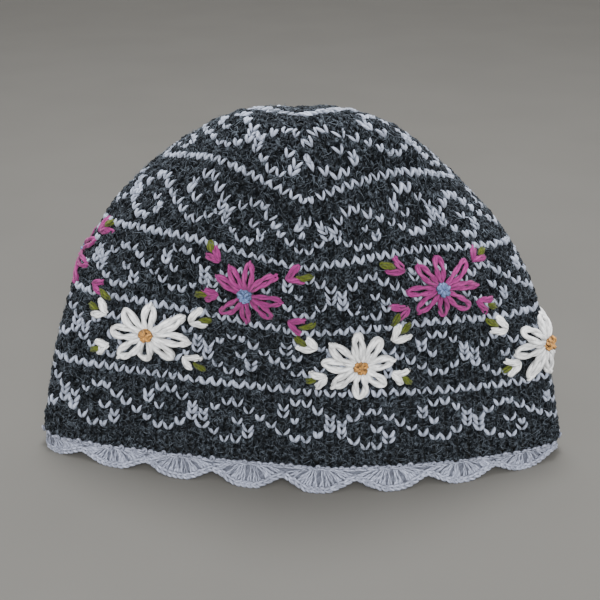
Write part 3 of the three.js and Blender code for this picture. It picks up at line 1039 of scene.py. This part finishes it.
def knot(yarn, column, row, radius, base, rng):
    """Adds a flower's knot: a strand laid round it at a height of `base`, and plump stitches
    that climb from that ring over the top and dive into the middle."""
    thick = radius * 0.3
    ring = radius - thick
    turn = np.linspace(0, 2 * np.pi * 1.1, 26)
    start = rng.random() * 6.0
    strand = CAP.strand(column, row, ring * np.cos(turn + start), ring * np.sin(turn + start),
                        base + 0.35 * np.sin(turn * 3))
    yarn.add_plied(*strand, thick, 4.5, 6, rng.random(1))
    share = np.linspace(0, 1, 7)
    for n in range(8):
        angle = rng.normal(start + n * np.pi / 4, 0.16)
        length = radius * (0.10 + 0.76 * share)
        aside = radius * rng.normal(0, 0.14) * np.sin(np.pi * share)
        out = base + radius * rng.normal(0.5, 0.08) * np.sin(np.pi * (0.02 + 0.84 * share))
        strand = CAP.strand(column, row, *turned(length, aside, angle), out)
        plump = thick * (0.78 + 0.35 * np.sin(np.pi * share)) * rng.normal(1, 0.15)
        yarn.add_plied(*strand, plump, 3.0, 6, rng.random(1))


def embroider(kind, flowers, knot_colour, half_width, leaf_material, seed):
    """Makes the petals, the knot and the leaves of each flower of one kind."""
    sizes = bpy.context.scene.beanie.flowers
    thick, radius = getattr(sizes, kind + "_strand") / MM, getattr(sizes, kind + "_knot") / MM
    petals_material = yarn_shader(kind + " embroidery wool", colour_of(kind), 0.32, pitch=9.0,
                                  relief=0.7, girth=10.0, painted_groove_shade=0.36, painted_side_shade=0.3)
    knot_material = yarn_shader(knot_colour + " knot wool", colour_of(knot_colour), 0.5, pitch=3.0,
                                relief=0.9, painted_groove_shade=0.45, painted_side_shade=0.75)
    for n, (column, row, tips, sprigs) in enumerate(flowers, 1):
        rng = np.random.default_rng(seed + n)
        petals, middle, leaves = Yarn(), Yarn(), Yarn()
        for order, tip in enumerate(tips):
            lift = rng.normal(0.35 * (order % 2), 0.15)
            wide = half_width * rng.normal(1, 0.15)
            loop_stitch(petals, column, row, tip, PETAL_START, wide, thick, rng, lift)
            if rng.random() < TACKED:
                tack_stitch(petals, column, row, tip, thick, rng)
        for leaf in sprigs:
            sprig(petals, leaves, column, row, leaf, thick, sizes.leaf_strand / MM, rng)
        knot(middle, column, row, radius, 1.4 + thick * 1.35, rng)
        name = "%s_flower_%d" % (kind, n)
        for end, yarn, material, slot, *nodes in (
                ("_loops", petals, petals_material, kind + "_yarn", name + "_petals"),
                ("_winding", middle, knot_material, knot_colour + "_yarn", name + "_knot"),
                ("_leaves", leaves, leaf_material, "leaf_yarn")):
            add_piece(yarn.mesh(name + end), material, slot, *nodes)


class BEANIE_OT_flowers(bpy.types.Operator):
    """Embroiders the white and the pink flowers with their sprigs"""
    bl_idname = "beanie.flowers"
    bl_label = "Flowers"

    def execute(self, context):
        leaf = yarn_shader("leaf wool", colour_of("leaf"), 0.6, pitch=4.0, relief=0.7, painted_groove_shade=0.4,
                           painted_side_shade=0.5)
        embroider("white", WHITE_FLOWERS, "amber", WHITE_LOOP, leaf, 40)
        embroider("pink", PINK_FLOWERS, "blue", PINK_LOOP, leaf, 50)
        return {"FINISHED"}


class BEANIE_OT_fibres(bpy.types.Operator):
    """Scatters loose curved fibres over the knitting"""
    bl_idname = "beanie.fibres"
    bl_label = "Loose fibres"

    def execute(self, context):
        sizes = context.scene.beanie.stitches
        rng = np.random.default_rng(70)
        many = sizes.fibres
        fewer = 1 - np.sqrt(1 - FIBRES_THINNED * rng.random(many))
        row = FIBRE_ROWS * fewer / (1 - math.sqrt(1 - FIBRES_THINNED)) + 0.2
        column = rng.random(many) * STITCHES
        heading = rng.random((many, 1)) * 2 * np.pi
        length = 2.0 + 3.0 * rng.random((many, 1))
        curl = rng.normal(0, 1.1, (many, 1))
        rise = 0.15 + 1.3 * rng.random((many, 1)) ** 2
        tone = rng.random(many)
        share = np.linspace(0, 1, 4)
        angle = heading + curl * share
        along = np.cumsum(np.cos(angle) * (length / 3), 1)
        up = np.cumsum(np.sin(angle) * (length / 3), 1)
        entry = CAP.read(column, row)
        column = column[:, None] + along / entry[:, 6:7]
        height = np.clip(row[:, None] + up / entry[:, 7:8], 0, LAST_ROW - 0.5)
        path, normal = CAP.place(column, height, 1.35 + rise * share ** 1.3)
        thin = sizes.fibre / MM * (1.15 - 0.75 * share)
        light = colour_of("ground_light")
        material = fibre_shader("loose wool fibres", scaled(light, 0.3), light)
        for name, low, high in (("loose_fibres_lower", -1, 20), ("loose_fibres_upper", 20, 62)):
            own = (row >= low) & (row < high)
            yarn = Yarn()
            yarn.add(path[own], normal[own], thin, thin, 3, tone[own])
            add_piece(yarn.mesh(name), material, "body_yarn")
        return {"FINISHED"}


def add_aimed(data, place, target, **values):
    """Adds a camera or a light at a place, turned towards a target."""
    set_values(data, values)
    made = add_object(data)
    made.location = place
    made.rotation_euler = (Vector(target) - Vector(place)).to_track_quat("-Z", "Y").to_euler()
    return made


class BEANIE_OT_stage(bpy.types.Operator):
    """Sets out the floor, the soft lights and the camera"""
    bl_idname = "beanie.stage"
    bl_label = "Stage"

    def execute(self, context):
        studio = context.scene.beanie.studio
        self.floor(tuple(studio.floor))
        for name, place, size, share in SOFTBOXES:
            add_aimed(bpy.data.lights.new(name, "AREA"), place, LIGHT_AIM, shape="DISK", size=size,
                      energy=studio.key * share)
        world = bpy.data.worlds.new("room")
        world.use_nodes = True
        background = world.node_tree.nodes["Background"]
        background.inputs["Color"].default_value = ROOM_COLOUR
        background.inputs["Strength"].default_value = studio.room
        context.scene.world = world
        level = math.cos(CAMERA_ELEVATION)
        back = Vector((math.sin(CAMERA_AZIMUTH) * level, -math.cos(CAMERA_AZIMUTH) * level,
                       math.sin(CAMERA_ELEVATION)))
        context.scene.camera = add_aimed(
            bpy.data.cameras.new("camera"), CAMERA_AIM + back * CAMERA_DISTANCE, CAMERA_AIM,
            lens=CAMERA_LENS, sensor_width=36.0, clip_start=0.01)
        return {"FINISHED"}

    def floor(self, colour):
        """A flat sheet under the lowest point of the model."""
        line = np.linspace(-FLOOR_REACH, FLOOR_REACH, 5)
        x, y = np.meshgrid(line, line)
        points = np.stack([x, y, np.full(x.shape, CAD_BOX[0][2] / MM)], -1).reshape(-1, 3)
        quads = grid_quads(np.arange(x.size).reshape(x.shape))
        mesh = quad_mesh("floor", points, quads, points[:, :2], 0.5)
        shader = Shader("floor paint", MATT_PAINT)
        mottle = shader.noise(shader.place(), 7.0, 3.0).between(0.3, 0.7)
        shader.set("Base Color", shader.mix(mottle, scaled(colour, 0.97), scaled(colour, 1.02)))
        add_object(mesh, shader.material)


OPERATORS = (BEANIE_OT_stage, BEANIE_OT_inside, BEANIE_OT_stitches, BEANIE_OT_edging,
             BEANIE_OT_flowers, BEANIE_OT_fibres)


class BEANIE_PT_panel(bpy.types.Panel):
    """Lists the beanie's operators in the sidebar"""
    bl_idname = "BEANIE_PT_panel"
    bl_label = "Beanie"
    bl_space_type = "VIEW_3D"
    bl_region_type = "UI"
    bl_category = "Beanie"

    def draw(self, context):
        for operator in OPERATORS:
            self.layout.operator(operator.bl_idname)
        for group in BeanieSettings.__annotations__:
            box = self.layout.box()
            values = getattr(context.scene.beanie, group)
            for key in type(values).__annotations__:
                box.prop(values, key)


CLASSES = (YarnColours, StitchSizes, EdgingSizes, FlowerSizes, StudioSettings, BeanieSettings,
           *OPERATORS, BEANIE_PT_panel)


def register():
    for part in CLASSES:
        bpy.utils.register_class(part)
    bpy.types.Scene.beanie = PointerProperty(type=BeanieSettings)


def unregister():
    del bpy.types.Scene.beanie
    for part in reversed(CLASSES):
        bpy.utils.unregister_class(part)


def main():
    register()
    bpy.ops.beanie.stage()
    bpy.ops.beanie.inside()
    bpy.ops.beanie.stitches()
    bpy.ops.beanie.edging()
    bpy.ops.beanie.flowers()
    bpy.ops.beanie.fibres()


if __name__ == "__main__":
    main()
